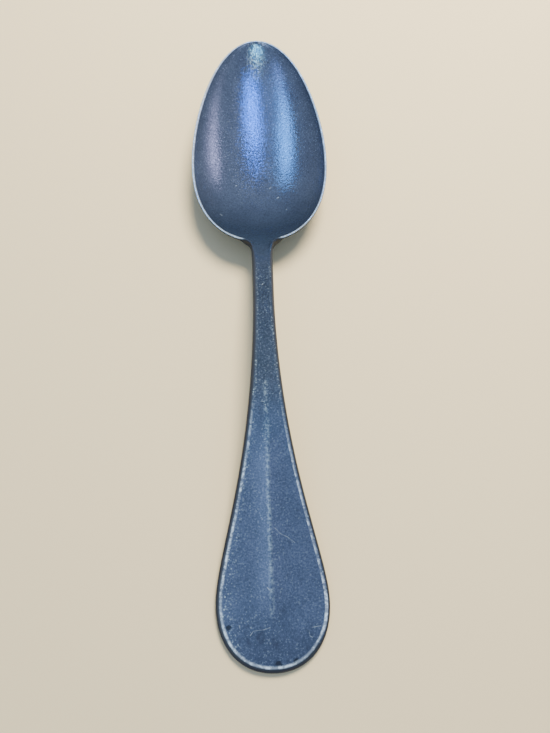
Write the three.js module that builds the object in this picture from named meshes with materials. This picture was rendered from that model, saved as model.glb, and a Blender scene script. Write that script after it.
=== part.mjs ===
// A tablespoon of dark patinated metal: an egg-shaped bowl, a slender stem and a broad handle with a mid-rib.
// Millimetres. X runs across the spoon, Y from the handle's end to the bowl's tip, Z up from the table.
// The spoon lies on the table at Z = 0 on its bowl and its handle's end, with X = 0 in its plane of symmetry.
// The three meshes are the regions of one forging: they meet on shared flat sections with no gap.
import * as THREE from "three";

// Plan of the whole spoon
const LENGTH = 200;

// Plan of the bowl: an egg, narrow at the tip and blunt at the heel
const BOWL_LENGTH = 77.4;
const BOWL_WIDTH = 44.4;
const BOWL_TAPER = -0.187;
const BOWL_FULLNESS = 0.095;

// Plan of the neck, where small fillets lead from the bowl's heel to the stem
const STEM_WIDTH = 6.5;
const FILLET_SPREAD = 5.4;
const FILLET_REACH = 2.4;
const NECK_RUN = 8.6;
const NECK_EASE = 6.5;

// Plan of the handle: flanks that broaden from the stem, and a blunt rounded end
const HANDLE_WIDTH = 30.8;
const HANDLE_WIDEST_FROM_END = 17.1;
const FLANK_LENGTH = 87.1;
const FLANK_EASE_AT_STEM = 49.3;
const FLANK_EASE_AT_WIDEST = 13.4;
const END_EASE_AT_WIDEST = 10.4;
const END_EASE_ACROSS = 9.2;

// Bowl: inside depth under the rim, wall, and how steeply the dish falls from the rim
const BOWL_DEPTH = 9.2;
const BOWL_WALL = 1.4;
const DISH_POWER = 0.72;
const RIM_LAND = 0.5;
const RIM_ROUND = 0.25;
const RIM_EDGE = 0.8;
const BOWL_WORN_FLAT = 0.32;

// Neck: how far the inside and the back of the bowl blend into the stem
const SPILL_LENGTH = 7;
const BACK_SPILL_LENGTH = 2;
const BACK_FILLET = 2;
const BACK_SWEEP = 12;
const BACK_BLEND = 1.4;

// Side view: the rim's rise to the tip, the stem's arch and the flat on which the handle's end lies
const RIM_RISE = 4.5;
const ARCH_RISE = 3;
const ARCH_BEHIND_NECK = 30;
const REST_LENGTH = 12;

// Stem and handle section
const STEM_THICKNESS = 3.8;
const HANDLE_THICKNESS = 2.2;
const EDGE_LAND = 0.5;
const EDGE_ROUND = 1.0;

// Mid-rib on the handle's face: a crest with hollow flanks that fades out at both ends
const RIB_HEIGHT = 0.7;
const RIB_FLANK = 6;
const RIB_LENGTH = 57;
const RIB_END_MARGIN = 11;
const RIB_FADE_AT_STEM = 26;
const RIB_FADE_AT_END = 12;

// Facets
const BOWL_STEPS = 34;
const FILLET_STEPS = 7;
const SHANK_STEPS = 4;
const STEM_STEPS = 12;
const FLANK_STEPS = 20;
const END_STEPS = 14;
const TOP_COLUMNS = 8;
const BACK_COLUMNS = 12;
const EDGE_STEPS = 4;

// Accuracy of the places that are found by search
const SAMPLES = 200;
const HALVINGS = 50;
const SAME_SPOT = 1e-6;

// Finish: dark blue-grey metal, dulled by use
const FINISH = { color: 0x59627a, roughness: 0.42, metalness: 0.85 };

const { lerp, smoothstep } = THREE.MathUtils;

// Places along the spoon
const tipY = LENGTH / 2;
const endY = -LENGTH / 2;
const heelY = tipY - BOWL_LENGTH;
const neckEndY = heelY - NECK_RUN;
const archY = heelY - ARCH_BEHIND_NECK;
const widestY = endY + HANDLE_WIDEST_FROM_END;
const flankY = widestY + FLANK_LENGTH;
const restY = endY + REST_LENGTH;
const ribEndY = endY + RIB_END_MARGIN;
const ribStartY = ribEndY + RIB_LENGTH;
const stemHalf = STEM_WIDTH / 2;
const handleHalf = HANDLE_WIDTH / 2;

// The lesser of two heights, rounded over a blend where they cross.
function softLeast(a, b, blend) {
  const near = Math.max(blend - Math.abs(a - b), 0) / blend;
  return Math.min(a, b) - (near * near * blend) / 4;
}

// A length that is nought before its start and is eased in over a blend.
function softStart(a, blend) {
  if (a >= blend) return a;
  const share = Math.max(a + blend, 0) / (2 * blend);
  return blend * share ** 3 * (2 - share);
}

// The place between two others where a rising function passes nought.
function crossing(rising, low, high) {
  for (let i = 0; i < HALVINGS; i++) {
    const middle = (low + high) / 2;
    if (rising(middle) < 0) low = middle;
    else high = middle;
  }
  return (low + high) / 2;
}

// The highest value of a function between 0 and 1.
function highest(valueAt) {
  const values = Array.from({ length: SAMPLES + 1 }, (_, i) => valueAt(i / SAMPLES));
  return Math.max(...values);
}

// Factor by which the egg swells from a plain ellipse; along is 1 at the tip and -1 at the heel.
function eggSwell(along) {
  return 1 + BOWL_TAPER * along + BOWL_FULLNESS * along * along;
}

const eggPeak = highest((share) => {
  const angle = Math.PI * share;
  return Math.sin(angle) * eggSwell(Math.cos(angle));
});

// Right half of the bowl's outline, from the tip round to the heel.
class BowlOutline extends THREE.Curve {
  getPoint(t, target = new THREE.Vector2()) {
    const angle = Math.PI * t;
    const along = Math.cos(angle);
    const across = (Math.sin(angle) * eggSwell(along)) / eggPeak;
    return target.set((across * BOWL_WIDTH) / 2, lerp(heelY, tipY, (1 + along) / 2));
  }
}

// Right half of the whole outline, as curves from the tip to the handle's end.
const bowlOutline = new BowlOutline();
const filletStart = crossing((t) => FILLET_SPREAD - bowlOutline.getPoint(t).x, 0.5, 1);
const filletPoint = bowlOutline.getPoint(filletStart);
const filletTangent = bowlOutline.getTangent(filletStart).multiplyScalar(FILLET_REACH);
const neckOutline = new THREE.CubicBezierCurve(
  filletPoint,
  filletPoint.clone().add(filletTangent),
  new THREE.Vector2(stemHalf, neckEndY + NECK_EASE),
  new THREE.Vector2(stemHalf, neckEndY),
);
const shankOutline = new THREE.LineCurve(
  new THREE.Vector2(stemHalf, neckEndY),
  new THREE.Vector2(stemHalf, flankY),
);
const flankOutline = new THREE.CubicBezierCurve(
  new THREE.Vector2(stemHalf, flankY),
  new THREE.Vector2(stemHalf, flankY - FLANK_EASE_AT_STEM),
  new THREE.Vector2(handleHalf, widestY + FLANK_EASE_AT_WIDEST),
  new THREE.Vector2(handleHalf, widestY),
);
const endOutline = new THREE.CubicBezierCurve(
  new THREE.Vector2(handleHalf, widestY),
  new THREE.Vector2(handleHalf, widestY - END_EASE_AT_WIDEST),
  new THREE.Vector2(END_EASE_ACROSS, endY),
  new THREE.Vector2(0, endY),
);
const handleStart = crossing((t) => ribStartY - flankOutline.getPoint(t).y, 0, 1);

// Stations along a curve: a point of the outline with its outward direction.
function stationsAlong(curve, steps, from = 0, to = 1) {
  return Array.from({ length: steps + 1 }, (_, i) => {
    const t = lerp(from, to, i / steps);
    const tangent = curve.getTangent(t);
    return { point: curve.getPoint(t), outward: new THREE.Vector2(-tangent.y, tangent.x) };
  });
}

// How much of the bowl's rim is left at a place: 1 along the bowl, fading to 0 through the neck.
function rimShare(y) {
  return smoothstep(y, neckEndY, heelY + NECK_RUN / 2);
}

// Height of the rim over its level at the neck.
function rimAboveNeck(y) {
  const along = Math.max(y - heelY, 0) / BOWL_LENGTH;
  return RIM_RISE * along * along;
}

// Share of the dish's full depth along the spoon, with its end at the heel eased into the stem.
function dishShare(y, inset, spill) {
  const halfLength = BOWL_LENGTH / 2 - inset;
  const along = (y - heelY - inset) / halfLength - 1;
  const fromHeel = softStart(1 + along, spill / halfLength);
  const swell = eggSwell(along) / eggPeak;
  return Math.max(1 - along, 0) * fromHeel * swell * swell;
}

// Depth of a dish under the rim; across is 0 on the spoon's axis and 1 at the dish's edge.
function dishDepth(deepest, across, y, inset, spill) {
  const share = dishShare(y, inset, spill) * (1 - across * across);
  return deepest * Math.max(share, 0) ** DISH_POWER;
}

// Depth of the bowl's outside under its rim, from the lower corner of the rim's edge.
function outerDepth(across, y) {
  const deepest = BOWL_DEPTH + BOWL_WALL - RIM_EDGE;
  return RIM_EDGE + dishDepth(deepest, across, y, RIM_ROUND, BACK_SPILL_LENGTH);
}

// The neck's height puts the bowl's lowest point on the table, less the flat that wear has left there.
const bowlDrop = highest((share) => {
  const y = lerp(heelY, tipY, share);
  return outerDepth(0, y) - rimAboveNeck(y);
});
const neckHeight = bowlDrop - BOWL_WORN_FLAT;

// Side view of the face: the rim's line, then the stem's arch, then the fall to the flat of the handle's end.
function faceHeight(y) {
  if (y >= heelY) return neckHeight + rimAboveNeck(y);
  if (y >= archY) return neckHeight + ARCH_RISE * (1 - smoothstep(y, archY, heelY));
  return lerp(HANDLE_THICKNESS, neckHeight + ARCH_RISE, smoothstep(y, restY, archY));
}

// Thickness of the stem, thinning to that of the handle.
function thickness(y) {
  return lerp(HANDLE_THICKNESS, STEM_THICKNESS, smoothstep(y, widestY, flankY));
}

// Height of the mid-rib over the handle's face.
function ribHeight(x, y) {
  const rise = 1 - smoothstep(y, ribStartY - RIB_FADE_AT_STEM, ribStartY);
  const fade = smoothstep(y, ribEndY, ribEndY + RIB_FADE_AT_END);
  const flank = Math.max(1 - Math.abs(x) / RIB_FLANK, 0);
  return RIB_HEIGHT * rise * fade * flank * flank;
}

// Upper surface: the face with its rib, less the bowl's dish.
function topHeight(across, x, y) {
  const dish = dishDepth(BOWL_DEPTH, across, y, RIM_LAND + RIM_ROUND, SPILL_LENGTH);
  return faceHeight(y) + ribHeight(x, y) - dish;
}

// Lower surface: the bowl's outside, the stem's back that sweeps up into it, and the flats worn by the table.
function backHeight(across, x, y) {
  const spread = y > neckEndY ? Math.max(Math.abs(x) - stemHalf, 0) : 0;
  const run = Math.max(y - heelY, 0);
  const sweep = (spread * spread) / (2 * BACK_FILLET) + (run * run) / (2 * BACK_SWEEP);
  const stemBack = faceHeight(y) - thickness(y) + sweep;
  const bowlBack = faceHeight(y) - outerDepth(across, y);
  return Math.max(softLeast(bowlBack, stemBack, BACK_BLEND), 0);
}

// Columns from -1 to 1 across a surface, closer together towards its edges.
function columnsAcross(perSide) {
  return Array.from({ length: 2 * perSide + 1 }, (_, i) => {
    return Math.sin((Math.PI / 2) * (i / perSide - 1));
  });
}

// The closed section at a station: over the top from left to right, round the right edge,
// along the back from right to left and up the left edge.
function sectionAt({ point, outward }) {
  const rim = rimShare(point.y);
  const land = lerp(EDGE_LAND, RIM_LAND, rim);
  const round = lerp(EDGE_ROUND, RIM_ROUND, rim);
  const inner = point.clone().addScaledVector(outward, -land - round);
  const corner = point.clone().addScaledVector(outward, -round);
  const cornerTop = topHeight(1, corner.x, corner.y);
  const cornerBack = backHeight(1, corner.x, corner.y);
  const middle = (cornerTop + cornerBack) / 2;
  const reach = (cornerTop - cornerBack) / 2;
  const edge = [];
  for (let i = 1; i < EDGE_STEPS; i++) {
    const angle = Math.PI / 2 - (Math.PI * i) / EDGE_STEPS;
    const out = corner.clone().addScaledVector(outward, round * Math.cos(angle));
    edge.push(new THREE.Vector3(out.x, out.y, middle + reach * Math.sin(angle)));
  }
  const mirrored = edge.map((p) => new THREE.Vector3(-p.x, p.y, p.z)).reverse();
  const top = columnsAcross(TOP_COLUMNS).map((across) => {
    const x = across * inner.x;
    return new THREE.Vector3(x, inner.y, topHeight(across, x, inner.y));
  });
  const back = columnsAcross(BACK_COLUMNS).map((across) => {
    const x = -across * corner.x;
    return new THREE.Vector3(x, corner.y, backHeight(across, x, corner.y));
  });
  const left = new THREE.Vector3(-corner.x, corner.y, cornerTop);
  const right = new THREE.Vector3(corner.x, corner.y, cornerTop);
  return [left, ...top, right, ...edge, ...back, ...mirrored];
}

// Triangles of a flat section, facing the handle's end.
function sectionTriangles(section) {
  const contour = section.map((p) => new THREE.Vector2(p.x, p.z));
  return THREE.ShapeUtils.triangulateShape(contour, []).map((face) => {
    const corners = face.map((i) => contour[i]);
    const ordered = THREE.ShapeUtils.area(corners) < 0 ? [...face].reverse() : face;
    return ordered.map((i) => section[i]);
  });
}

// One region: skin between its sections, and a flat face where it meets a neighbour.
function regionMesh(name, stations, { closedAtFront, closedAtRear }) {
  const sections = stations.map(sectionAt);
  const triangles = [];
  for (let i = 0; i + 1 < sections.length; i++) {
    const [front, rear] = [sections[i], sections[i + 1]];
    front.forEach((a, j) => {
      const next = (j + 1) % front.length;
      triangles.push([a, rear[j], rear[next]], [a, rear[next], front[next]]);
    });
  }
  if (closedAtRear) triangles.push(...sectionTriangles(sections.at(-1)));
  if (closedAtFront) triangles.push(...sectionTriangles(sections[0]).map((t) => t.reverse()));
  // At the tip and at the handle's end the two sides fall on one line, where triangles shrink to nothing.
  const real = triangles.filter((corners) => {
    return corners.every((p, i) => p.distanceTo(corners[(i + 1) % 3]) > SAME_SPOT);
  });
  const geometry = new THREE.BufferGeometry().setFromPoints(real.flat());
  geometry.computeVertexNormals();
  const mesh = new THREE.Mesh(geometry, new THREE.MeshStandardMaterial(FINISH));
  mesh.name = name;
  return mesh;
}

const bowlStations = stationsAlong(bowlOutline, BOWL_STEPS, 0, filletStart);
const neckStations = stationsAlong(neckOutline, FILLET_STEPS);
const shankStations = stationsAlong(shankOutline, SHANK_STEPS);
const stemStations = stationsAlong(flankOutline, STEM_STEPS, 0, handleStart);
const flankStations = stationsAlong(flankOutline, FLANK_STEPS, handleStart, 1);
const endStations = stationsAlong(endOutline, END_STEPS);

// Regions meet on flat sections square to the spoon's length.
for (const meeting of [neckStations.at(-1), shankStations[0], stemStations.at(-1), flankStations[0]]) {
  meeting.outward.set(1, 0);
}

const spoon = new THREE.Group();
spoon.name = "tablespoon";
spoon.add(
  regionMesh("bowl", [...bowlStations, ...neckStations.slice(1)], { closedAtRear: true }),
  regionMesh("stem", [...shankStations, ...stemStations.slice(1)], { closedAtFront: true, closedAtRear: true }),
  regionMesh("handle", [...flankStations, ...endStations.slice(1)], { closedAtFront: true }),
);

export default spoon;
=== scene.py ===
import math

import bmesh
import bpy
import numpy as np
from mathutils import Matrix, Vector, noise


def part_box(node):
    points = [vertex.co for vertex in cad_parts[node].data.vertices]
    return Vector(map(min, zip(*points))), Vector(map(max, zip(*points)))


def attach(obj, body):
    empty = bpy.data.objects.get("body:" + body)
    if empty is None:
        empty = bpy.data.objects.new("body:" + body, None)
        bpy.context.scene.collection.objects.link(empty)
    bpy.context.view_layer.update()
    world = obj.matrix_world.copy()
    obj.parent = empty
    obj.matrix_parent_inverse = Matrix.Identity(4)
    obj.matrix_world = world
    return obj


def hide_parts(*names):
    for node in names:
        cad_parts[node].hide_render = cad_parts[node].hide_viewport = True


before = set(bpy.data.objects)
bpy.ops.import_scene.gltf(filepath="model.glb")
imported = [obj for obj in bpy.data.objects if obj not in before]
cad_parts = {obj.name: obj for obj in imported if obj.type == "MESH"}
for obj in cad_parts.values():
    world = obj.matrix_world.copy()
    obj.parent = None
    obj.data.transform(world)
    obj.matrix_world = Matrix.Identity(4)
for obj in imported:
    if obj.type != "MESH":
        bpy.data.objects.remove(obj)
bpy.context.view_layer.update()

# A tablespoon lies bowl up on a table, with Y along it from the handle's end to the bowl's tip

# One millimetre in the scene's metres
MM = 0.001

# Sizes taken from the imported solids, in metres
bowl_low, bowl_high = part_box("bowl")
handle_low, handle_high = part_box("handle")
TIP_Y = bowl_high.y
END_Y = handle_low.y
NECK_END_Y = bowl_low.y
RIB_START_Y = handle_high.y
BOWL_WIDTH = bowl_high.x - bowl_low.x
HANDLE_WIDTH = handle_high.x - handle_low.x

# Plan of the bowl and of the neck's fillets
BOWL_LENGTH = 77.4 * MM
BOWL_TAPER = -0.187
BOWL_FULLNESS = 0.095
STEM_WIDTH = 6.5 * MM
FILLET_SPREAD = 5.4 * MM
FILLET_REACH = 2.4 * MM
NECK_EASE = 6.5 * MM

# Plan of the handle
HANDLE_WIDEST_FROM_END = 17.1 * MM
FLANK_LENGTH = 87.1 * MM
FLANK_EASE_AT_STEM = 49.3 * MM
FLANK_EASE_AT_WIDEST = 13.4 * MM
END_EASE_AT_WIDEST = 10.4 * MM
END_EASE_ACROSS = 9.2 * MM

# Bowl
BOWL_DEPTH = 9.2 * MM
BOWL_WALL = 1.4 * MM
DISH_POWER = 0.72
RIM_LAND = 0.32 * MM
RIM_ROUND = 0.22 * MM
RIM_EDGE = 0.8 * MM
RIM_SOFTNESS = 0.06 * MM
BOWL_WORN_FLAT = 0.32 * MM

# Neck
SPILL_LENGTH = 7 * MM
BACK_SPILL_LENGTH = 2 * MM
BACK_FILLET = 2 * MM
BACK_SWEEP = 12 * MM
BACK_BLEND = 1.4 * MM

# Side view
RIM_RISE = 4.5 * MM
ARCH_RISE = 3 * MM
ARCH_BEHIND_NECK = 30 * MM
REST_LENGTH = 12 * MM

# Stem and handle section
STEM_THICKNESS = 3.8 * MM
HANDLE_THICKNESS = 2.2 * MM
EDGE_LAND = 0.38 * MM
EDGE_ROUND = 1.0 * MM

# Mid-rib
RIB_HEIGHT = 0.7 * MM
RIB_FLANK = 6 * MM
RIB_END_MARGIN = 11 * MM
RIB_FADE_AT_STEM = 14 * MM
RIB_FADE_AT_END = 12 * MM

# Unevenness left by forging and use: how far the surface wanders, and over what length
WAVE_HEIGHT = 0.035 * MM
WAVE_LENGTH = 11 * MM

# Mesh
BOWL_STEPS = 150
FILLET_STEPS = 24
SHANK_STEPS = 20
STEM_STEPS = 60
FLANK_STEPS = 110
END_STEPS = 60
TOP_COLUMNS = 40
BACK_COLUMNS = 20
EDGE_STEPS = 14
SAME_SPOT = 1e-7

# Steps of the curves on which a place or a greatest value is looked for
EGG_SEARCH_STEPS = 720
BOWL_SEARCH_STEPS = 399
FLANK_SEARCH_STEPS = 1000

# Where the bare line begins on the rounded edge, as the sine of the angle up it, with tarnish and painted
# shade
# below it: on the rim, on the handle's right flank, on the right of its end, and on the sides away from
# the light, whose round has none and is wholly painted shade and tarnish
RIM_BARE_FROM = 0.84
RIGHT_BARE_FROM = 0.995
RIGHT_END_BARE_FROM = 0.95
SHADE_BARE_FROM = 1.06

# Softness of the bare line and of the tarnish and painted shade below it, in the same sine
BARE_FADE_BELOW = 0.02
BARE_FADE_ABOVE = 0.04
TARNISH_AND_SHADE_FADE = 0.06

# How far the bare line reaches inwards from the land
RIM_WEAR = 0.08 * MM
RIGHT_WEAR = 0.12 * MM
SHADE_WEAR = 0.66 * MM

# Half widths between which the heel's edge and the handle's become worn, and how far the stem's is
HEEL_WORN_HALF_WIDTHS = (5.0 * MM, 7.2 * MM)
HANDLE_WORN_HALF_WIDTHS = (4.5 * MM, 9 * MM)
STEM_WORN = 0.05

# Stretches along the spoon: from the heel, where the rim becomes worn; from the widest place, where the
# right flank's bare line becomes that of the end; from the rib's start, where the handle's tone fades out
RIM_WORN_STRETCH = (2 * MM, 5 * MM)
END_LINE_STRETCH = (-1 * MM, 7 * MM)
HANDLE_TONE_STRETCH = (-10 * MM, 14 * MM)

# How far the right edge faces the handle's end, away from the key light, where its painted shade begins,
# and where it is full
SHADE_FACING = (0.1, 0.8)

# Shares of the half width: on the face, where the rim's painted shade begins and is full and where the
# left flecks begin; on the back, where the tarnish and painted shade begin to deepen; and their share in
# the back's middle
RIM_SHADE_ACROSS = (0.6, 0.98)
LEFT_FLECKS_FROM = 0.7
BACK_DEEPENS_FROM = 0.6
BACK_TARNISH_AND_SHADE = 0.5

# From here on, sizes and places of the finish are in millimetres, as the material measures them

# Small pits and stains on the handle's face: place across and along, and half width
PIT_DEPTH = 0.1
PITS = [(-11.8, -88.7, 1.2), (1.0, -97.8, 1.4), (5.7, -97.1, 1.1)]
STAINS = [(2.6, -85.2, 2.2), (-3.4, -91.5, 3.4), (0.6, -93.0, 2.6), (-6.2, -92.0, 2.4)]
STAIN_STRENGTH = 0.5

# Bright scratches on the stem and the handle: start and end across and along, and half width
SCRATCHES = [
    ((1.2, -63.7), (2.9, -65.4), 0.15),
    ((2.9, -65.4), (4.5, -66.1), 0.13),
    ((4.5, -66.1), (6.5, -67.7), 0.15),
    ((10.2, -89.2), (12.5, -88.9), 0.16),
    ((9.3, -89.8), (9.5, -91.3), 0.14),
    ((9.5, -91.3), (10.2, -91.6), 0.14),
    ((-6.2, -90.7), (-5.4, -89.7), 0.16),
    ((-9.1, -88.0), (-8.8, -89.1), 0.14),
    ((-5.2, -89.6), (-2.7, -89.4), 0.1),
    ((-2.7, -89.4), (-0.9, -88.9), 0.14),
    ((-1.3, -79.0), (-0.4, -80.0), 0.22),
    ((-0.3, 6.9), (0.0, 7.3), 0.22),
    ((-1.5, -29.3), (-0.7, -29.5), 0.14),
    ((-0.9, -30.2), (-0.2, -30.4), 0.14),
]

# Bright nicks in the bowl, in the same form
NICKS = [
    ((-8.3, 49.0), (-8.0, 49.2), 0.28),
    ((3.2, 48.2), (3.6, 48.7), 0.36),
    ((5.5, 43.9), (6.1, 44.2), 0.3),
    ((8.4, 38.3), (8.6, 38.6), 0.26),
    ((-13.2, 35.8), (-12.8, 35.5), 0.32),
    ((13.2, 65.2), (13.3, 65.4), 0.24),
    ((8.3, 75.6), (8.4, 75.9), 0.24),
]

# The rubbed crest of the mid-rib, with a painted highlight along it, in the same form
CREST_RUB_AND_HIGHLIGHT = ((-0.2, -24.0), (-0.2, -86.0), 1.0)

# The scuffed patch at the bowl's tip, with the share of its half size that is full; the turn of its
# strokes, their width and length, their noise's roughness, and its values between which they show
SCUFF_MIDDLE = (-0.2, 94.6)
SCUFF_HALF_SIZE = (4.2, 8.0)
SCUFF_CORE = 0.2
SCUFF_TURN = math.radians(-35)
SCUFF_STROKE = (0.4, 0.9)
SCUFF_NOISE_ROUGHNESS = 0.6
SCUFF_RANGE = (0.47, 0.62)

# Colours of the patina, its darker and its paler patches, and the darker colour at the heel, which is
# painted shade
BOWL_TONES = ((0.099, 0.125, 0.184, 1), (0.116, 0.147, 0.213, 1))
STEM_TONES = ((0.03, 0.042, 0.065, 1), (0.036, 0.049, 0.077, 1))
HANDLE_TONES = ((0.064, 0.089, 0.147, 1), (0.077, 0.105, 0.173, 1))
HEEL_SHADE_TONE = (0.036, 0.059, 0.1, 1)

# Colours of the marks on it
SPECK_COLOUR = (0.21, 0.275, 0.32, 1)
FLECK_COLOUR = (0.4, 0.53, 0.58, 1)
STAIN_COLOUR = (0.023, 0.03, 0.045, 1)
# The crest's colour is partly rubbed metal and partly a painted highlight along the rib
CREST_RUB_AND_HIGHLIGHT_COLOUR = (0.19, 0.26, 0.32, 1)
SCRATCH_COLOUR = (0.22, 0.27, 0.31, 1)
NICK_COLOUR = (0.42, 0.51, 0.57, 1)
SCUFF_COLOUR = (0.42, 0.48, 0.5, 1)
# Tarnish, and painted shade on the rounds that face away from the light and on the back
TARNISH_AND_SHADE_COLOUR = (0.037, 0.042, 0.052, 1)
BARE_COLOUR = (0.7, 0.84, 0.93, 1)

# Stretches along the spoon over which the finish changes, and its brightness at both ends of some; the
# darkening by the rim, deepest at the heel, and towards the handle's end is painted shade
HEEL_STRETCH = (22, 50)
RIM_SHADE_BRIGHTNESS = (0.7, 0.82)
STEM_STRETCH = (-28, 8)
STEM_BRIGHTNESS = (1.22, 0.95)
HANDLE_END_STRETCH = (-97, -84)
HANDLE_END_SHADE_BRIGHTNESS = (0.76, 1)
NECK_STRETCH = (18, 9)
SPARKLE_STRETCH = (30, 60)
FLECK_STRETCH = (6, -30)
BARE_END_STRETCH = (-72, -88)

# Patches made by noise: their size, the values of the noise between which they go from start to end, or
# from 0 to 1 where these aren't given, and the noise's detail and roughness
MOTTLE = {"size": 7, "low": 0.35, "high": 0.65, "detail": 5, "roughness": 0.6}
GRAIN = {"size": 0.5, "low": 0.3, "high": 0.7, "start": -1, "end": 1, "roughness": 0.7}
FINE_SPECKS = {"size": 0.5, "low": 0.59, "high": 0.75, "roughness": 0.6}
STAIN_PATCHES = {"size": 1.2, "low": 0.35, "high": 0.6, "start": 0.1, "detail": 3}
PIT_PATCHES = {"size": 0.9, "low": 0.35, "high": 0.6, "start": 0.35}
CREST_RUB_AND_HIGHLIGHT_PATCHES = {"size": 0.8, "low": 0.42, "high": 0.66, "end": 0.9, "detail": 3}
SCRATCH_PATCHES = {"size": 0.8, "low": 0.35, "high": 0.6, "start": 0.3}
BARE_PATCHES = {"size": 1.6, "low": 0.4, "high": 0.62, "detail": 5, "roughness": 0.75}
POLISH = {"size": 4, "low": 0.3, "high": 0.7, "start": 0.148, "end": 0.176, "detail": 3, "roughness": 0.6}

# Small round dots: their spacing and largest radius, and from 0 to 1 how few there are
SPARKLE_DOTS = (0.55, 0.26, 0.45)
SPECK_DOTS = (0.9, 0.32, 0.6)
FLECK_DOTS = (0.8, 0.34, 0.4)
DARK_DOTS = (1.4, 0.55, 0.5)

# How strong the dark dots are, and the span of chance over which dots fade out
DARK_DOT_STRENGTH = 0.4
RARITY_FADE = 0.2

# How deep the grain is in the bowl, on the stem and on the handle, and how bright the bowl's sparkle
BOWL_GRAIN = 0.2
STEM_GRAIN = 0.36
HANDLE_GRAIN = 0.24
SPARKLE_BRIGHTNESS = (0.92, 2.1)

# Crowds of specks: their size, the values between which they become full, the least share outside them,
# the stretch from the middle to the right over which they thin out, and by how much
CROWD_SIZE = 6
CROWD_RANGE = (0.3, 0.9)
LEAST_SPECKS = 0.3
THINNING_STRETCH = (0, 9)
THINNING = 0.2

# Share of the flecks that is left at the top of the stem and round the bowl
LEAST_FLECKS = 0.2

# Shares of a pit between which it turns dark
PIT_RANGE = (0.1, 0.4)

# Least share of bare metal along the worn edge: on the handle, on its end and on the rim
HANDLE_LEAST_BARE = 0.1
END_LEAST_BARE = 0.3
RIM_LEAST_BARE = 0.6

# Gloss: how metallic each place is, and how much rougher the rim and all behind the bowl are
STEM_METALLIC = 0.0
HANDLE_METALLIC = 0.45
BOWL_METALLIC = 0.7
RIM_METALLIC = 0.55
HANDLE_ROUGHER_BY = 0.23
RIM_ROUGHER_BY = 0.15
SPECULAR_LEVEL = 0.05

# Small dents all over
DENT_SIZE = 0.65
DENT_NOISE_ROUGHNESS = 0.6
DENT_HEIGHT = 0.055

# The stage is in metres again

FLOOR_COLOUR = (0.94, 0.77, 0.44, 1)
FLOOR_ROUGHNESS = 0.9
FLOOR_HALF = 3.0
FLOOR_LEVEL = -0.01 * MM

# Room light: its colour, where it is brightest, and its strength at two heights towards there
ROOM_COLOUR = (0.52, 0.68, 1.0, 1)
ROOM_BRIGHTEST = (0, -0.5, 0.866)
ROOM_HEIGHTS = (-0.4, 0.3)
ROOM_STRENGTHS = (0.25, 0.78)

# Soft panels that the metal mirrors: place, size across and along before the turn, turn in degrees,
# radiance and colour
PANELS = {
    "middle_panel": ((0.018, 0.1275, 0.2), (0.05, 0.019), -24, 63, (0.027, 0.25, 1.0)),
    "haze_panel": ((-0.036, 0.128, 0.2), (0.05, 0.05), 0, 1.65, (0.2, 0.42, 1.0)),
    "tip_panel": ((-0.005, 0.026, 0.2), (0.05, 0.088), 0, 11.2, (0.185, 0.7, 1.0)),
    "left_panel": ((-0.143, 0.21, 0.3), (0.088, 0.114), 2, 18.2, (0.092, 0.45, 1.0)),
    "upper_left_panel": ((-0.148, 0.118, 0.3), (0.09, 0.07), 0, 4.6, (0.25, 0.42, 1.0)),
    "right_panel": ((0.366, 0.284, 0.3), (0.222, 0.09), -13, 12.6, (0.99, 0.79, 1.0)),
    "handle_panel": ((-0.1, -0.08, 0.17), (0.09, 0.135), 0, 9, (0.72, 0.85, 1.0)),
    "second_handle_panel": ((0.13, -0.08, 0.17), (0.068, 0.135), 0, 6.5, (0.78, 0.8, 1.0)),
}

# The main light, in the same form, which the metal doesn't mirror
KEY_PANEL = ((0.16, 0.34, 0.5), (0.34, 0.34), 0, 36, (1.0, 0.93, 0.82))

# Camera, from the photograph's perspective; its sensor is in millimetres and its turn in radians
IMAGE_HEIGHT = 733
FOCAL_PIXELS = 593
SENSOR_SIZE = 36
NEAREST_SEEN = 0.01
CAMERA_PLACE = Vector((0.86, -74.77, 172.42)) * MM
CAMERA_DIP = math.radians(71)
CAMERA_TURN = 0.0339

# Places and sizes that follow from those above
HEEL_Y = TIP_Y - BOWL_LENGTH
NECK_RUN = HEEL_Y - NECK_END_Y
ARCH_Y = HEEL_Y - ARCH_BEHIND_NECK
WIDEST_Y = END_Y + HANDLE_WIDEST_FROM_END
FLANK_Y = WIDEST_Y + FLANK_LENGTH
REST_Y = END_Y + REST_LENGTH
RIB_END_Y = END_Y + RIB_END_MARGIN
STEM_HALF = STEM_WIDTH / 2
HANDLE_HALF = HANDLE_WIDTH / 2


def smoothstep(value, low, high):
    """Smooth change from 0 to 1 while the value goes from low to high."""
    share = np.clip((value - low) / (high - low), 0, 1)
    return share * share * (3 - 2 * share)


def mix(a, b, share):
    """Value between two others."""
    return a + (b - a) * share


def steps(count, low=0.0, high=1.0):
    """Both ends of a range and the values between, in equal steps."""
    return np.linspace(low, high, count + 1)


def soft_least(a, b, blend):
    """The lesser of two heights, rounded where they cross."""
    near = np.maximum(blend - np.abs(a - b), 0) / blend
    return np.minimum(a, b) - near * near * blend / 4


def soft_start(value, blend):
    """A length that is nought before its start and is eased in."""
    share = np.maximum(value + blend, 0) / (2 * blend)
    return np.where(value >= blend, value, blend * share ** 3 * (2 - share))


def egg_swell(along):
    """Factor on an oval's half width that makes it an egg, from the heel at -1 to the tip at 1."""
    return 1 + BOWL_TAPER * along + BOWL_FULLNESS * along * along


egg_angles = steps(EGG_SEARCH_STEPS, 0, math.pi)
EGG_PEAK = np.max(np.sin(egg_angles) * egg_swell(np.cos(egg_angles)))


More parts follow.
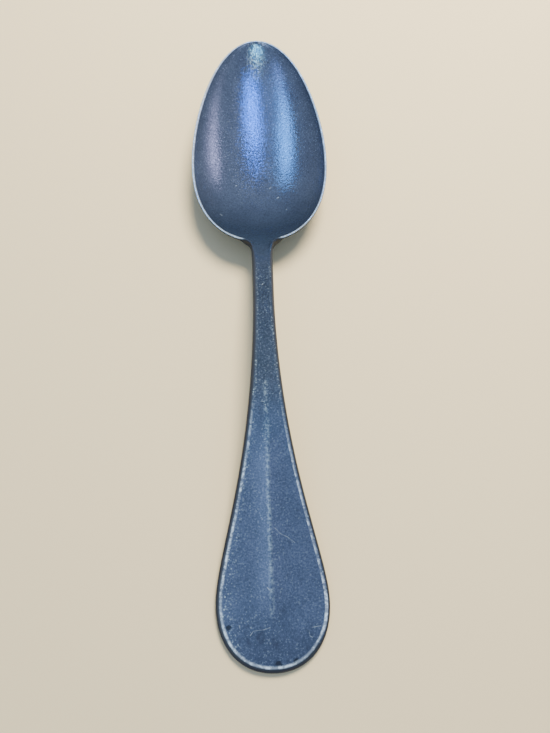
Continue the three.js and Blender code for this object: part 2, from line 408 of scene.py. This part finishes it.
def egg_points(angles):
    """Points of the bowl's right side, from the tip at angle 0 to the heel at a half turn."""
    along = np.cos(angles)
    across = np.sin(angles) * egg_swell(along) / EGG_PEAK
    return np.stack([across * BOWL_WIDTH / 2, mix(HEEL_Y, TIP_Y, (1 + along) / 2)], axis=1)


def bezier(points, shares):
    """Points of a cubic curve at shares of its run."""
    a, b, c, d = (np.array(p) for p in points)
    t = np.asarray(shares)[:, None]
    return (1 - t) ** 3 * a + 3 * (1 - t) ** 2 * t * b + 3 * (1 - t) * t ** 2 * c + t ** 3 * d


def outline():
    """Right half of the outline from tip to handle's end, and the rows where the regions meet."""
    rear = egg_angles[egg_angles > math.pi / 2]
    fillet_angle = np.interp(-FILLET_SPREAD, -egg_points(rear)[:, 0], rear)
    bowl = egg_points(steps(BOWL_STEPS, 0, fillet_angle))
    inward = bowl[-1] - bowl[-2]
    reach = inward / np.linalg.norm(inward) * FILLET_REACH
    neck_end = (STEM_HALF, NECK_END_Y)
    neck_ease = (STEM_HALF, NECK_END_Y + NECK_EASE)
    neck = bezier([bowl[-1], bowl[-1] + reach, neck_ease, neck_end], steps(FILLET_STEPS))
    shank = np.linspace(neck_end, (STEM_HALF, FLANK_Y), SHANK_STEPS + 1)
    flank_curve = [
        (STEM_HALF, FLANK_Y),
        (STEM_HALF, FLANK_Y - FLANK_EASE_AT_STEM),
        (HANDLE_HALF, WIDEST_Y + FLANK_EASE_AT_WIDEST),
        (HANDLE_HALF, WIDEST_Y),
    ]
    search = steps(FLANK_SEARCH_STEPS)
    handle_start = np.interp(-RIB_START_Y, -bezier(flank_curve, search)[:, 1], search)
    stem = bezier(flank_curve, steps(STEM_STEPS, 0, handle_start))
    flank = bezier(flank_curve, steps(FLANK_STEPS, handle_start, 1))
    end_curve = [
        (HANDLE_HALF, WIDEST_Y),
        (HANDLE_HALF, WIDEST_Y - END_EASE_AT_WIDEST),
        (END_EASE_ACROSS, END_Y),
        (0, END_Y),
    ]
    end = bezier(end_curve, steps(END_STEPS))
    points = np.vstack([bowl, neck[1:], shank[1:], stem[1:], flank[1:], end[1:]])
    bowl_end = BOWL_STEPS + FILLET_STEPS
    stem_end = bowl_end + SHANK_STEPS + STEM_STEPS
    return points, bowl_end, stem_end


def outward_ways(points, meetings):
    """Directions square to the outline, and straight across where regions meet."""
    beyond = points[[1, -2]] * (-1, 1)
    padded = np.vstack([beyond[:1], points, beyond[1:]])
    tangents = padded[2:] - padded[:-2]
    tangents /= np.linalg.norm(tangents, axis=1)[:, None]
    outward = np.stack([-tangents[:, 1], tangents[:, 0]], axis=1)
    outward[meetings] = (1, 0)
    return outward


def rim_share(y):
    """How far the edge has the form of the bowl's rim, and not of the stem's edge."""
    return smoothstep(y, NECK_END_Y, HEEL_Y + NECK_RUN / 2)


def rim_above_neck(y):
    """How far the rim rises above the neck towards the tip."""
    along = np.maximum(y - HEEL_Y, 0) / BOWL_LENGTH
    return RIM_RISE * along * along


def dish_share(y, inset, spill):
    """Square of a dish's half width, as a share, eased where it spills into the neck."""
    half = BOWL_LENGTH / 2 - inset
    along = (y - HEEL_Y - inset) / half - 1
    swell = egg_swell(along) / EGG_PEAK
    return np.maximum(1 - along, 0) * soft_start(1 + along, spill / half) * swell * swell


def dish_depth(deepest, across, y, inset, spill):
    """Depth of an egg-shaped dish at places from -1 to 1 across it."""
    share = dish_share(y, inset, spill) * (1 - across * across)
    return deepest * np.maximum(share, 0) ** DISH_POWER


def outer_depth(across, y):
    """Depth of the bowl's back below its rim."""
    deepest = BOWL_DEPTH + BOWL_WALL - RIM_EDGE
    return RIM_EDGE + dish_depth(deepest, across, y, RIM_ROUND, BACK_SPILL_LENGTH)


bowl_line = steps(BOWL_SEARCH_STEPS, HEEL_Y, TIP_Y)
NECK_HEIGHT = np.max(outer_depth(0, bowl_line) - rim_above_neck(bowl_line)) - BOWL_WORN_FLAT


def face_height(y):
    """Height of the rim, and of the flat face of the stem and the handle."""
    arch = NECK_HEIGHT + ARCH_RISE
    over_neck = NECK_HEIGHT + ARCH_RISE * (1 - smoothstep(y, ARCH_Y, HEEL_Y)) + rim_above_neck(y)
    down_handle = mix(HANDLE_THICKNESS, arch, smoothstep(y, REST_Y, ARCH_Y))
    return np.where(y >= ARCH_Y, over_neck, down_handle)


def thickness(y):
    """Thickness of the stem and the handle."""
    return mix(HANDLE_THICKNESS, STEM_THICKNESS, smoothstep(y, WIDEST_Y, FLANK_Y))


def rib_height(x, y):
    """Height of the mid-rib above the flat face."""
    rise = 1 - smoothstep(y, RIB_START_Y - RIB_FADE_AT_STEM, RIB_START_Y)
    fade = smoothstep(y, RIB_END_Y, RIB_END_Y + RIB_FADE_AT_END)
    flank = np.maximum(1 - np.abs(x) / RIB_FLANK, 0)
    return RIB_HEIGHT * rise * fade * flank * flank


def top_height(across, x, y):
    """Height of the upper side, with the dish and the mid-rib."""
    dish = dish_depth(BOWL_DEPTH, across, y, RIM_LAND + RIM_ROUND, SPILL_LENGTH)
    eased = dish * dish / (dish + RIM_SOFTNESS)
    return face_height(y) + rib_height(x, y) - eased


def back_height(across, x, y):
    """Height of the under side, flat where the table has worn it."""
    spread = np.where(y > NECK_END_Y, np.maximum(np.abs(x) - STEM_HALF, 0), 0)
    run = np.maximum(y - HEEL_Y, 0)
    sweep = spread * spread / (2 * BACK_FILLET) + run * run / (2 * BACK_SWEEP)
    stem_back = face_height(y) - thickness(y) + sweep
    bowl_back = face_height(y) - outer_depth(across, y)
    return np.maximum(soft_least(bowl_back, stem_back, BACK_BLEND), 0)


def columns(per_side):
    """Places from -1 to 1 across a surface, closer together towards its edges."""
    even = steps(2 * per_side, -1, 1)
    return ((even + np.sin(even * math.pi / 2)) / 2)[None, :]


# Places across the face and the back, and angles round the right edge from the face down
TOP_ACROSS = columns(TOP_COLUMNS)
BACK_ACROSS = -columns(BACK_COLUMNS)
EDGE_ANGLES = steps(EDGE_STEPS, math.pi / 2, -math.pi / 2)[None, :-1]


def wander(grid, length):
    """Smooth chance value between about -1 and 1 at each point, changing over the given length."""
    flat = grid.reshape(-1, 3) / length
    values = [noise.noise(Vector(p)) for p in flat.tolist()]
    return np.array(values).reshape(grid.shape[:-1])


def spots(x, y, places):
    """How much of a spot lies at each point: 1 in the middle of one and 0 outside all."""
    share = np.zeros(x.shape)
    for spot_x, spot_y, half in places:
        distance = np.hypot(x - spot_x * MM, y - spot_y * MM)
        share = np.maximum(share, 1 - smoothstep(distance, 0, half * MM))
    return share


def top_grid(inner):
    """Points over the face between the land's inner borders, with its pits and waves."""
    x = TOP_ACROSS * inner[:, :1]
    y = np.broadcast_to(inner[:, 1:], x.shape)
    height = top_height(TOP_ACROSS, x, y) - PIT_DEPTH * MM * spots(x, y, PITS)
    top = np.stack([x, y, height], axis=2)
    top[:, :, 2] += WAVE_HEIGHT * wander(top, WAVE_LENGTH)
    return top


def edge_grid(corner, outward, edge_round):
    """Points round the right edge, from the face to the back."""
    high = top_height(1, corner[:, 0], corner[:, 1])[:, None]
    low = back_height(1, corner[:, 0], corner[:, 1])[:, None]
    bulge = edge_round * np.cos(EDGE_ANGLES)
    out = corner[:, None, :] + outward[:, None, :] * bulge[:, :, None]
    height = (high + low) / 2 + (high - low) / 2 * np.sin(EDGE_ANGLES)
    return np.concatenate([out, height[:, :, None]], axis=2)


def back_grid(corner):
    """Points over the back, from its right edge to its left."""
    x = BACK_ACROSS * corner[:, :1]
    y = np.broadcast_to(corner[:, 1:], x.shape)
    return np.stack([x, y, back_height(BACK_ACROSS, x, y)], axis=2)


def around(on_top, on_right, on_back, on_left, rows):
    """Values round the sections from those on the face, on the back, and down each edge."""
    parts = [on_top, on_right, on_back, on_left[:, ::-1]]
    widths = [TOP_ACROSS.size, EDGE_ANGLES.size, BACK_ACROSS.size, EDGE_ANGLES.size]
    return np.concatenate([np.broadcast_to(p, (rows, w)) for p, w in zip(parts, widths)], axis=1)


def edge_distance(x, y, points):
    """Distance seen from above between each point and the outline."""
    places = np.stack([np.abs(x), y], axis=-1).reshape(-1, 2)
    return np.array([np.min(np.hypot(*(points - place).T)) for place in places]).reshape(x.shape)


def worn_share(half_width, y):
    """How far the edge is worn bright: the rim and the handle fully, the stem hardly."""
    start, full = RIM_WORN_STRETCH
    beside_heel = smoothstep(half_width, *HEEL_WORN_HALF_WIDTHS)
    ahead_of_heel = smoothstep(y, HEEL_Y + start, HEEL_Y + full)
    flank = mix(STEM_WORN, 1, smoothstep(half_width, *HANDLE_WORN_HALF_WIDTHS))
    handle = np.maximum(flank, y < WIDEST_Y)
    return np.where(y > NECK_END_Y, np.maximum(beside_heel, ahead_of_heel), handle)


def edge_finish(points, outward, rim, top, inset):
    """How bare the face's border and the edges are, and how dark the edges and the back are with tarnish
    and painted shade.
    """
    y = points[:, 1:]
    worn = worn_share(points[:, :1], y)
    # How far the right edge lies in painted shade, facing away from the key light
    shade = smoothstep(-outward[:, 1:], *SHADE_FACING)
    start, full = END_LINE_STRETCH
    at_end = 1 - smoothstep(y, WIDEST_Y + start, WIDEST_Y + full)
    flank_from = mix(RIGHT_BARE_FROM, RIGHT_END_BARE_FROM, at_end)
    right_from = mix(mix(flank_from, SHADE_BARE_FROM, shade), RIM_BARE_FROM, rim * worn)
    left_from = mix(SHADE_BARE_FROM, RIM_BARE_FROM, rim * worn)
    right_wear = mix(mix(RIGHT_WEAR, SHADE_WEAR, shade), RIM_WEAR, rim)
    left_wear = mix(SHADE_WEAR, RIM_WEAR, rim)
    reach = np.where(TOP_ACROSS > 0, right_wear, left_wear)
    inside = edge_distance(top[:, :, 0], top[:, :, 1], points) - inset
    upward = np.sin(EDGE_ANGLES)

    def bare(line_from):
        return worn * smoothstep(upward, line_from - BARE_FADE_BELOW, line_from + BARE_FADE_ABOVE)

    # Tarnish, and painted shade where the round faces away from the light, below the bare line
    def dark(line_from):
        return 1 - smoothstep(upward, line_from - TARNISH_AND_SHADE_FADE, line_from)

    rows = len(points)
    none = np.zeros((1, 1))
    top_bare = worn * (1 - smoothstep(inside, 0, reach))
    back_shade_and_tarnish = mix(BACK_TARNISH_AND_SHADE, 1, smoothstep(np.abs(BACK_ACROSS), BACK_DEEPENS_FROM, 1))
    return {
        "edge_wear": around(top_bare, bare(right_from), none, bare(left_from), rows),
        "tarnish_and_shade": around(none, dark(right_from), back_shade_and_tarnish, dark(left_from), rows),
    }


def face_finish(rim, top, sections):
    """Where the other parts of the finish lie: flecks, the rim's painted shade, stains, pits and each
    region's tone.
    """
    rows = len(sections)
    none = np.zeros((1, 1))
    full = np.ones((1, 1))
    left_flecks = smoothstep(-TOP_ACROSS, LEFT_FLECKS_FROM, 1) * (1 - rim)
    rim_shade = rim * smoothstep(np.abs(TOP_ACROSS), *RIM_SHADE_ACROSS)
    stain = STAIN_STRENGTH * spots(top[:, :, 0], top[:, :, 1], STAINS)
    pit = spots(top[:, :, 0], top[:, :, 1], PITS)
    y = sections[:, :, 1]
    start, end = HANDLE_TONE_STRETCH
    return {
        "near_edge": around(left_flecks, full, none, full, rows),
        # How far the rim's painted shade, and its less metallic, rougher finish, reach
        "near_rim": around(rim_shade, full, full, full, rows),
        "stain": around(stain, none, none, none, rows),
        "pit": around(pit, none, none, none, rows),
        "in_bowl": smoothstep(y, NECK_END_Y, HEEL_Y + NECK_RUN),
        "on_handle": 1 - smoothstep(y, RIB_START_Y + start, RIB_START_Y + end),
    }


def spoon_sections():
    """Closed sections from tip to handle's end, the finish at their points, and where regions meet."""
    points, bowl_end, stem_end = outline()
    outward = outward_ways(points, [bowl_end, stem_end])
    rim = rim_share(points[:, 1:])
    edge_round = mix(EDGE_ROUND, RIM_ROUND, rim)
    inset = mix(EDGE_LAND, RIM_LAND, rim) + edge_round
    corner = points - outward * edge_round
    top = top_grid(points - outward * inset)
    edge = edge_grid(corner, outward, edge_round)
    left_edge = edge[:, ::-1] * (-1, 1, 1)
    sections = np.concatenate([top, edge, back_grid(corner), left_edge], axis=1)
    finish = {**edge_finish(points, outward, rim, top, inset), **face_finish(rim, top, sections)}
    return sections, finish, bowl_end, stem_end


def new_object(name, data):
    """An object in the scene with the given mesh, lamp or lens."""
    made = bpy.data.objects.new(name, data)
    bpy.context.scene.collection.objects.link(made)
    return made


def region(name, sections, finish, first, last):
    """One region between two of the spoon's sections: a closed skin with a flat face at each cut."""
    part = sections[first:last + 1]
    rows, columns_around = part.shape[:2]
    index = np.arange(rows * columns_around).reshape(rows, columns_around)
    following = np.roll(index, -1, axis=1)
    skin = np.stack([index[:-1], index[1:], following[1:], following[:-1]], axis=2).reshape(-1, 4)
    faces = skin.tolist()
    if first > 0:
        faces.append(index[0].tolist())
    if last < len(sections) - 1:
        faces.append(index[-1, ::-1].tolist())
    mesh = bpy.data.meshes.new(name)
    mesh.from_pydata(part.reshape(-1, 3).tolist(), [], faces)
    for key, value in finish.items():
        attribute = mesh.attributes.new(key, "FLOAT", "POINT")
        attribute.data.foreach_set("value", value[first:last + 1].ravel().astype(np.float32))
    mesh.polygons.foreach_set("use_smooth", [len(face) == 4 for face in faces])
    shape = bmesh.new()
    shape.from_mesh(mesh)
    bmesh.ops.remove_doubles(shape, verts=shape.verts, dist=SAME_SPOT)
    bmesh.ops.recalc_face_normals(shape, faces=shape.faces)
    for cut in [face for face in shape.faces if not face.smooth]:
        for edge in cut.edges:
            edge.smooth = False
    shape.to_mesh(mesh)
    shape.free()
    return new_object(name, mesh)


class Shader:
    """Adds nodes to a tree; an input is a number, a colour or another node's output."""

    def __init__(self, tree):
        self.tree = tree

    def set(self, node, inputs):
        """Gives a node its inputs."""
        for key, value in inputs.items():
            if isinstance(value, bpy.types.NodeSocket):
                self.tree.links.new(value, node.inputs[key])
            else:
                node.inputs[key].default_value = value

    def add(self, kind, inputs, **settings):
        """Outputs of a new node with the given inputs and settings."""
        node = self.tree.nodes.new(kind)
        for key, value in settings.items():
            setattr(node, key, value)
        self.set(node, inputs)
        return node.outputs

    def math(self, operation, a, b):
        """Number worked out from two others."""
        return self.add("ShaderNodeMath", {0: a, 1: b}, operation=operation)[0]

    def vector(self, operation, a, b=(0, 0, 0), **inputs):
        """Outputs of an operation on vectors."""
        return self.add("ShaderNodeVectorMath", {0: a, 1: b, **inputs}, operation=operation)

    def scale(self, vector, factor):
        """Vector or colour times a number."""
        return self.vector("SCALE", vector, Scale=factor)[0]

    def part(self, vector, direction):
        """How far a vector reaches along a direction."""
        return self.vector("DOT_PRODUCT", vector, direction)["Value"]

    def attribute(self, name):
        """Part of the finish that the mesh holds under this name."""
        return self.add("ShaderNodeAttribute", {}, attribute_name=name)["Fac"]

    def blend(self, share, a, b):
        """Colour between two others, through the mix node's sockets for colours."""
        return self.add("ShaderNodeMix", {0: share, 6: a, 7: b}, data_type="RGBA")[2]

    def blend_value(self, share, a, b):
        """Number between two others, through the mix node's sockets for numbers."""
        return self.add("ShaderNodeMix", {0: share, 2: a, 3: b}, data_type="FLOAT")[0]

    def ramp(self, value, low, high, start=0.0, end=1.0, kind="LINEAR"):
        """Change from start to end while the value goes from low to high."""
        inputs = {"Value": value, "From Min": low, "From Max": high, "To Min": start, "To Max": end}
        return self.add("ShaderNodeMapRange", inputs, interpolation_type=kind)["Result"]

    def step(self, value, low, high, start=0.0, end=1.0):
        """Smooth change from start to end while the value goes from low to high."""
        return self.ramp(value, low, high, start, end, "SMOOTHSTEP")

    def change(self, share, start, end):
        """Smooth change from start to end while a share goes from 0 to 1."""
        return self.step(share, 0, 1, start, end)

    def noise(self, place, size, detail=2.0, roughness=0.5):
        """Chance value from 0 to 1 in patches of about the given size."""
        inputs = {"Vector": place, "Scale": 1 / size, "Detail": detail, "Roughness": roughness}
        return self.add("ShaderNodeTexNoise", inputs)["Fac"]

    def patches(self, place, size, low, high, start=0.0, end=1.0, **kind):
        """Smooth change from start to end where the noise goes from low to high."""
        return self.step(self.noise(place, size, **kind), low, high, start, end)

    def dots(self, place, spacing, radius, rarity):
        """Share of small round dots: their spacing and largest radius, and from 0 to 1 how few."""
        cells = self.add("ShaderNodeTexVoronoi", {"Vector": place, "Scale": 1 / spacing})
        near = self.step(cells["Distance"], radius / spacing, 0)
        return self.math("MULTIPLY", near, self.step(cells["Color"], rarity, rarity + RARITY_FADE))

    def strokes(self, place, turn, width, length, roughness):
        """Chance value from 0 to 1 in parallel strokes of the given size, turned from the Y axis."""
        scale = (1 / width, 1 / length, 1 / length)
        inputs = {"Vector": place, "Rotation": (0, 0, turn), "Scale": scale}
        turned = self.add("ShaderNodeMapping", inputs)["Vector"]
        return self.noise(turned, 1, roughness=roughness)

    def line(self, plan, start, end, half_width):
        """Share of a thin line between two places seen from above."""
        run = Vector(end) - Vector(start)
        offset = self.vector("SUBTRACT", plan, (*start, 0))[0]
        along = self.part(offset, (*(run / run.length_squared), 0))
        held = self.add("ShaderNodeClamp", {"Value": along})[0]
        foot = self.scale((*run, 0), held)
        distance = self.vector("DISTANCE", offset, foot)["Value"]
        return self.step(distance, half_width, 0)

    def lines(self, plan, places):
        """Share of any of several thin lines."""
        share = 0.0
        for start, end, half_width in places:
            share = self.math("MAXIMUM", share, self.line(plan, start, end, half_width))
        return share

    def patch(self, plan, middle, half_size, core):
        """Soft oval patch seen from above: 1 in its core, a share of its half size, and 0 outside."""
        offset = self.vector("SUBTRACT", plan, (*middle, 0))[0]
        shares = (1 / half_size[0], 1 / half_size[1], 0)
        reach = self.vector("MULTIPLY", offset, shares)[0]
        return self.step(self.vector("LENGTH", reach)["Value"], 1, core)


class Patina(Shader):
    """Dark blue-grey metal with a mottled patina, bright specks, scratches and bare worn edges."""

    def __init__(self, tree):
        super().__init__(tree)
        self.place = self.scale(self.add("ShaderNodeTexCoord", {})["Object"], 1 / MM)
        self.plan = self.vector("MULTIPLY", self.place, (1, 1, 0))[0]
        self.across = self.part(self.place, (1, 0, 0))
        self.along = self.part(self.place, (0, 1, 0))
        self.behind_neck = self.step(self.along, *NECK_STRETCH)
        self.in_bowl = self.attribute("in_bowl")
        self.on_handle = self.attribute("on_handle")
        self.near_rim = self.attribute("near_rim")
        self.near_edge = self.attribute("near_edge")

    def tone(self):
        """Mottled colour of each region, with painted shade towards the heel, by the rim and towards the
        handle's end.
        """
        mottle = self.patches(self.place, **MOTTLE)
        stem_brightness = self.step(self.along, *STEM_STRETCH, *STEM_BRIGHTNESS)
        stem = self.scale(self.blend(mottle, *STEM_TONES), stem_brightness)
        # Painted shade towards the handle's end
        handle_end_shade_brightness = self.step(self.along, *HANDLE_END_STRETCH, *HANDLE_END_SHADE_BRIGHTNESS)
        handle = self.scale(self.blend(mottle, *HANDLE_TONES), handle_end_shade_brightness)
        ahead_of_heel = self.step(self.along, *HEEL_STRETCH)
        # Painted shade at the heel
        bowl = self.blend(ahead_of_heel, HEEL_SHADE_TONE, self.blend(mottle, *BOWL_TONES))
        # Painted shade by the rim, deepest at the heel
        rim_shade_brightness = self.step(self.along, *HEEL_STRETCH, *RIM_SHADE_BRIGHTNESS)
        bowl = self.scale(bowl, self.change(self.near_rim, 1, rim_shade_brightness))
        return self.blend(self.in_bowl, self.blend(self.on_handle, stem, handle), bowl)

    def grained(self, colour):
        """Fine grain all over, and sparkle in the bowl."""
        grain_behind = self.change(self.on_handle, STEM_GRAIN, HANDLE_GRAIN)
        depth = self.blend_value(self.behind_neck, BOWL_GRAIN, grain_behind)
        swing = self.math("MULTIPLY", self.patches(self.place, **GRAIN), depth)
        colour = self.scale(colour, self.math("ADD", swing, 1.0))
        in_front = self.step(self.along, *SPARKLE_STRETCH)
        sparkle = self.math("MULTIPLY", self.dots(self.place, *SPARKLE_DOTS), in_front)
        return self.scale(colour, self.change(sparkle, *SPARKLE_BRIGHTNESS))

    def specked(self, colour):
        """Bright specks in crowds on the stem and the handle, and flecks along the edges."""
        crowding = self.math("ADD", self.noise(self.place, CROWD_SIZE), self.near_edge)
        thinning = self.step(self.across, *THINNING_STRETCH, 0, THINNING)
        crowding = self.math("SUBTRACT", crowding, thinning)
        crowds = self.step(crowding, *CROWD_RANGE, LEAST_SPECKS, 1)
        share = self.math("MULTIPLY", crowds, self.behind_neck)
        fine_specks = self.patches(self.place, **FINE_SPECKS)
        specks = self.math("MAXIMUM", fine_specks, self.dots(self.place, *SPECK_DOTS))
        colour = self.blend(self.math("MULTIPLY", specks, share), colour, SPECK_COLOUR)
        down_stem = self.step(self.along, *FLECK_STRETCH, LEAST_FLECKS, 1)
        fleck_share = self.math("MULTIPLY", self.near_edge, down_stem)
        flecks = self.math("MULTIPLY", self.dots(self.place, *FLECK_DOTS), fleck_share)
        return self.blend(flecks, colour, FLECK_COLOUR)

    def stained(self, colour):
        """Dark dots all over, and the stains and pits of the handle."""
        dark_dots = self.math("MULTIPLY", self.dots(self.place, *DARK_DOTS), DARK_DOT_STRENGTH)
        stain = self.math("MULTIPLY", self.attribute("stain"), self.patches(self.place, **STAIN_PATCHES))
        pit = self.math("MULTIPLY", self.attribute("pit"), self.patches(self.place, **PIT_PATCHES))
        marks = self.math("MAXIMUM", stain, self.step(pit, *PIT_RANGE))
        return self.blend(self.math("MAXIMUM", dark_dots, marks), colour, STAIN_COLOUR)

    def rubbed(self, colour):
        """The rib's rubbed crest with its painted highlight, scratches, nicks and the scuffed patch at
        the tip.
        """
        crest_rub_and_highlight_patches = self.patches(self.place, **CREST_RUB_AND_HIGHLIGHT_PATCHES)
        crest_rub_and_highlight = self.math("MULTIPLY", self.line(self.plan, *CREST_RUB_AND_HIGHLIGHT), crest_rub_and_highlight_patches)
        broken = self.patches(self.place, **SCRATCH_PATCHES)
        scratches = self.math("MULTIPLY", self.lines(self.plan, SCRATCHES), broken)
        nicks = self.math("MULTIPLY", self.lines(self.plan, NICKS), broken)
        strokes = self.strokes(self.place, SCUFF_TURN, *SCUFF_STROKE, SCUFF_NOISE_ROUGHNESS)
        scuff_patch = self.patch(self.plan, SCUFF_MIDDLE, SCUFF_HALF_SIZE, SCUFF_CORE)
        scuff = self.math("MULTIPLY", scuff_patch, self.step(strokes, *SCUFF_RANGE))
        colour = self.blend(crest_rub_and_highlight, colour, CREST_RUB_AND_HIGHLIGHT_COLOUR)
        colour = self.blend(scratches, colour, SCRATCH_COLOUR)
        colour = self.blend(nicks, colour, NICK_COLOUR)
        return self.blend(scuff, colour, SCUFF_COLOUR)

    def worn(self, colour):
        """Tarnish and painted shade on the edges and the back, and a broken line of bare metal round the
        face.
        """
        colour = self.blend(self.attribute("tarnish_and_shade"), colour, TARNISH_AND_SHADE_COLOUR)
        least_bare = self.change(self.in_bowl, HANDLE_LEAST_BARE, RIM_LEAST_BARE)
        bare_end = self.step(self.along, *BARE_END_STRETCH, 0, END_LEAST_BARE)
        least_bare = self.math("MAXIMUM", least_bare, bare_end)
        still_bare = self.math("MAXIMUM", least_bare, self.patches(self.place, **BARE_PATCHES))
        bare = self.math("MULTIPLY", self.attribute("edge_wear"), still_bare)
        return self.blend(bare, colour, BARE_COLOUR)

    def metallic(self):
        """How metallic each place is."""
        behind = self.change(self.on_handle, STEM_METALLIC, HANDLE_METALLIC)
        bowl = self.change(self.near_rim, BOWL_METALLIC, RIM_METALLIC)
        return self.blend_value(self.in_bowl, behind, bowl)

    def roughness(self):
        """How rough each place is."""
        in_bowl = self.change(self.near_rim, 0.0, RIM_ROUGHER_BY)
        rougher_by = self.blend_value(self.in_bowl, HANDLE_ROUGHER_BY, in_bowl)
        return self.math("ADD", self.patches(self.place, **POLISH), rougher_by)

    def dented(self):
        """Directions of a surface with small dents."""
        height = self.noise(self.place, DENT_SIZE, roughness=DENT_NOISE_ROUGHNESS)
        inputs = {"Strength": 1.0, "Distance": DENT_HEIGHT * MM, "Height": height}
        return self.add("ShaderNodeBump", inputs)["Normal"]


def new_material(name):
    """A material, and the node that sets its surface."""
    material = bpy.data.materials.new(name)
    material.use_nodes = True
    return material, material.node_tree.nodes["Principled BSDF"]


def patinated_metal():
    """The spoon's material: its tone, and layers of marks over it."""
    material, surface = new_material("spoon_metal")
    patina = Patina(material.node_tree)
    colour = patina.tone()
    for layer in [patina.grained, patina.specked, patina.stained, patina.rubbed, patina.worn]:
        colour = layer(colour)
    patina.set(surface, {
        "Base Color": colour,
        "Metallic": patina.metallic(),
        "Specular IOR Level": SPECULAR_LEVEL,
        "Roughness": patina.roughness(),
        "Normal": patina.dented(),
    })
    return material


def pale_floor():
    """A wide plain table top just below the spoon."""
    material, surface = new_material("pale_floor")
    shader = Shader(material.node_tree)
    shader.set(surface, {"Base Color": FLOOR_COLOUR, "Roughness": FLOOR_ROUGHNESS})
    mesh = bpy.data.meshes.new("floor")
    signs = [(-1, -1), (1, -1), (1, 1), (-1, 1)]
    corners = [(x * FLOOR_HALF, y * FLOOR_HALF, FLOOR_LEVEL) for x, y in signs]
    mesh.from_pydata(corners, [], [(0, 1, 2, 3)])
    mesh.materials.append(material)
    floor = new_object("floor", mesh)


def soft_light(name, place, size, turn, radiance, colour, mirrored):
    """A level oval soft panel that shows only in reflections, or only in light that isn't mirrored."""
    lamp = bpy.data.lights.new(name, "AREA")
    lamp.shape = "ELLIPSE"
    lamp.size, lamp.size_y = size
    area = math.pi / 4 * lamp.size * lamp.size_y
    lamp.energy = radiance * math.pi * area
    lamp.color = colour
    light = new_object(name, lamp)
    light.location = place
    light.rotation_euler = (0, 0, math.radians(turn))
    light.visible_camera = False
    light.visible_glossy = mirrored
    light.visible_diffuse = not mirrored


def studio_lights():
    """Panels for the reflections, and the main light."""
    for name, panel in PANELS.items():
        soft_light(name, *panel, mirrored=True)
    soft_light("key_panel", *KEY_PANEL, mirrored=False)


def studio_world():
    """Soft room light, brightest overhead and towards the handle's end, dim beyond the bowl's tip."""
    world = bpy.data.worlds.new("studio")
    world.use_nodes = True
    shader = Shader(world.node_tree)
    direction = shader.add("ShaderNodeTexCoord", {})["Generated"]
    height = shader.part(direction, ROOM_BRIGHTEST)
    strength = shader.ramp(height, *ROOM_HEIGHTS, *ROOM_STRENGTHS)
    shader.set(world.node_tree.nodes["Background"], {"Color": ROOM_COLOUR, "Strength": strength})
    bpy.context.scene.world = world


def photo_camera():
    """The photograph's view."""
    lens = bpy.data.cameras.new("camera")
    lens.sensor_width = SENSOR_SIZE
    lens.lens = SENSOR_SIZE * FOCAL_PIXELS / IMAGE_HEIGHT
    lens.clip_start = NEAREST_SEEN
    camera = new_object("camera", lens)
    camera.location = CAMERA_PLACE
    camera.rotation_euler = (math.pi / 2 - CAMERA_DIP, 0, -CAMERA_TURN)
    bpy.context.scene.camera = camera


photo_camera()
studio_world()
studio_lights()
pale_floor()

metal = patinated_metal()
sections, finish, bowl_end, stem_end = spoon_sections()
regions = {
    "bowl": (0, bowl_end),
    "stem": (bowl_end, stem_end),
    "handle": (stem_end, len(sections) - 1),
}
for node, (first, last) in regions.items():
    piece = region("spoon_" + node, sections, finish, first, last)
    piece.data.materials.append(metal)
    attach(piece, "root")
    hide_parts(node)
